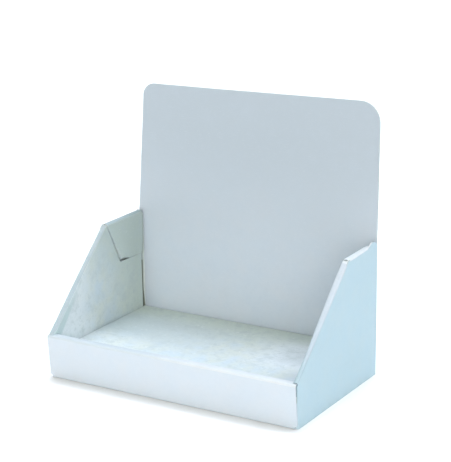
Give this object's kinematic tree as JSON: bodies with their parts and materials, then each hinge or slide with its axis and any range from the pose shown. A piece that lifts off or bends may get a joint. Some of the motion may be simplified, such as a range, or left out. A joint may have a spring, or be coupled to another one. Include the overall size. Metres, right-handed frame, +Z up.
{
  "type": "cardboard display stand",
  "caption": "Counter display stand folded from one sheet of white board: open tray with sloping walls, raised floor and a tall leaning header with rounded corners.",
  "frame": {"origin": "middle of the base panel's underside, on the table, halfway between the bottom front fold and the outside of the back panel", "axes": "+Z up, +X to the right as seen from the front, +Y from the lip towards the header"},
  "size_m": [0.256, 0.165, 0.2502],
  "materials": {
    "board": "matt white-lined paper board, uncoated inside"
  },
  "bodies": {
    "root": {"stand_sheet": "board"}
  },
  "joints": []
}
